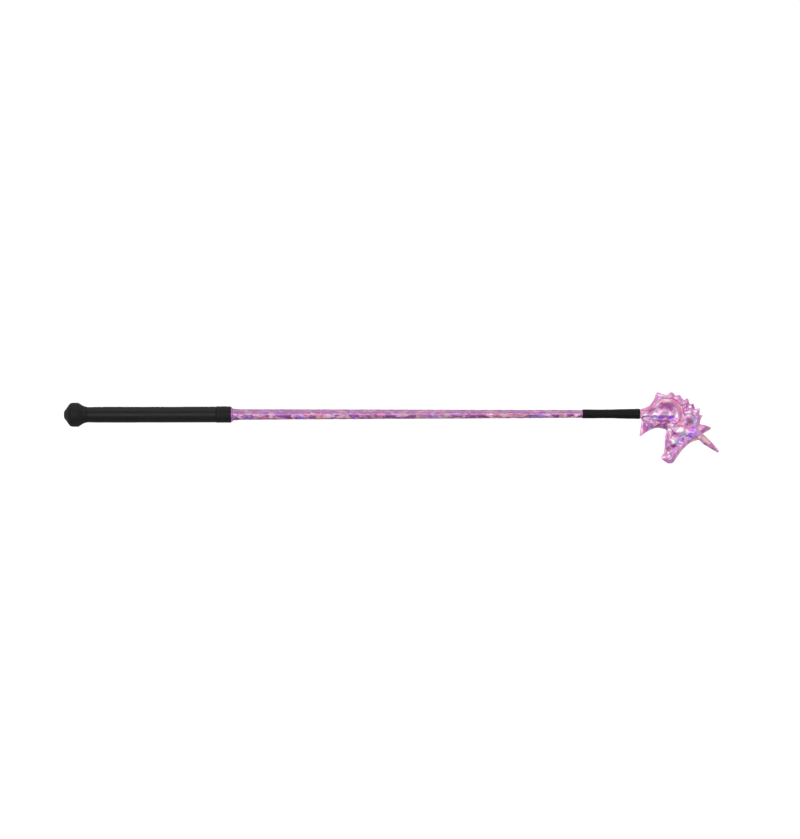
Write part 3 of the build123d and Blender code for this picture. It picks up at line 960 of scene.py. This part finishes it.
def add_head(material, foam):
    """The two foil skins and the two foam pads behind them."""
    points, triangles, outline = head_grid()
    rim = len(outline)
    height, held, edge = flat_pouch(points, outline)
    flat = np.column_stack([points[:, 0], height, points[:, 1]])
    walls = [flat, flat]
    walls = blow_up(points, triangles, rim, height, held)
    melt = np.clip(edge / MELT, 0, 1)
    melt = np.sqrt(0.06 + 0.94 * (1 - (1 - melt) ** 2))
    pieces = []
    for name, side, wall in zip(("head_front", "head_back"), (-1, 1), walls):
        wall = smoothed(wall, triangles, rim, SMOOTHING)
        wall[:rim, 1] = RIM_HALF
        depth = np.maximum(np.minimum(wall[:, 1], PROUD + (wall[:, 1] - PROUD) * 0.5), RIM_HALF)
        outer = np.column_stack([wall[:, 0], depth * melt, wall[:, 2]])
        inner = outer * (1, 0, 1) + (0, 1, 0) * np.maximum(outer[:, 1:2] - SKIN, 0.02)
        skin = add_shell(name, side, outer, inner, triangles, material)
        # Set colours for the skin: the foil's own hues with painted highlights and painted shade.
        lay, glow = head_tints_and_painted_light(points)
        hues = skin.data.attributes.new("lay", "FLOAT_VECTOR", "POINT")
        hues.data.foreach_set("vector", np.tile(lay, (2, 1)).astype(np.float32).ravel())
        strengths = skin.data.attributes.new("glow", "FLOAT", "POINT")
        strengths.data.foreach_set("value", np.tile(glow, 2).astype(np.float32))
        pieces.append(skin)

        spine = np.sqrt(np.clip(SPINE_ROOM ** 2 - outer[:, 2] ** 2, 0, None))
        under = np.maximum(STIFFENER_ROOM, spine * (outer[:, 0] < SPINE_END + 1))
        over = outer[:, 1] - SKIN - GLUE
        keep = (over - under > 0.08) & (edge > RIM_WIDTH) & (outer[:, 0] > PAD_START)
        used, chosen = only(keep, triangles)
        top = np.column_stack([outer[used, 0], over[used], outer[used, 2]])
        low = np.column_stack([outer[used, 0], under[used], outer[used, 2]])
        pieces.append(add_shell(name + "_pad", side, top, low, chosen, foam))
    return pieces


add_camera()
add_studio()

knob_rubber = rubber("knob_rubber", 0.007, 0.012, 0.55, 0.20, 0.35 * MM, 3 * MM, 0.10 * MM)
grip_rubber = rubber("grip_rubber", 0.007, 0.011, 0.38, 0.22, 0.30 * MM, 4 * MM, 0.08 * MM)
band_rubber = rubber("band_rubber", 0.007, 0.011, 0.52, 0.20, 0.30 * MM, 1.5 * MM, 0.20 * MM)
shrink_sleeve = rubber("shrink_sleeve", 0.004, 0.006, 0.52, 0.15, 0.25 * MM, 3 * MM, 0.05 * MM)
white_foam = foam_material("white_foam", (0.86, 0.85, 0.82))
shaft_foil = hologram("shaft_foil", SHAFT_MAUVE, 4.2 * MM, 1.7, 0.22, 0.10 * MM, 14 * MM, 0.36, shaft_hues_and_painted_reflection)
head_foil = hologram("head_foil", HEAD_MAUVE, 6 * MM, 1.0, 0.25, 0.12 * MM, 10 * MM, 0.24, head_hues_and_painted_light)

fibreglass = patterned("fibreglass", (0.42, 0.40, 0.30), (0.78, 0.76, 0.66), fibres, 0.32, 0.02 * MM)
hard_plastic = patterned("hard_plastic", (0.05, 0.05, 0.05), (0.09, 0.09, 0.09), flow_marks, 0.42, 0.02 * MM)
webbing = patterned("webbing", (0.44, 0.41, 0.44), (0.76, 0.72, 0.76), weave, 0.80, 0.12 * MM)
waxed_thread = patterned("waxed_thread", (0.015, 0.015, 0.015), (0.07, 0.07, 0.07), twist, 0.55, 0.06 * MM)
stiff_sheet = patterned("stiffener_sheet", (0.66, 0.66, 0.65), (0.86, 0.86, 0.85), pressed, 0.60, 0.02 * MM)
INNER_MATERIALS = {
    "core_rod": fibreglass,
    "pommel_core": hard_plastic,
    "handle_core": hard_plastic,
    "rod_tip_cap": hard_plastic,
    "shaft_padding": white_foam,
    "flap_tongue": webbing,
    "neck_spine": webbing,
    "binding_thread": waxed_thread,
    "stiffener": stiff_sheet,
}
for node_name, material in INNER_MATERIALS.items():
    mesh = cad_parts[node_name].data
    mesh.materials.clear()
    mesh.materials.append(material)

for piece, node_name, slot in (
    (add_pommel(knob_rubber), "pommel_cap", "knob_rubber"),
    (add_grip(grip_rubber), "grip_sleeve", "grip_rubber"),
    (add_band(band_rubber), "grip_end_band", "band_rubber"),
    (add_shaft_foil(shaft_foil), "film_wrap", "shaft_foil"),
    (add_tip_sleeve(shrink_sleeve), "tip_sleeve", "shrink_sleeve"),
):
    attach(piece, "shaft")
    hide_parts(node_name)

HEAD_PIECES = [
    ("front_skin", "head_foil"),
    ("front_padding", "foam"),
    ("back_skin", "head_foil"),
    ("back_padding", "foam"),
]
for piece, (node_name, slot) in zip(add_head(head_foil, white_foam), HEAD_PIECES):
    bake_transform(piece)
    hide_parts(node_name)
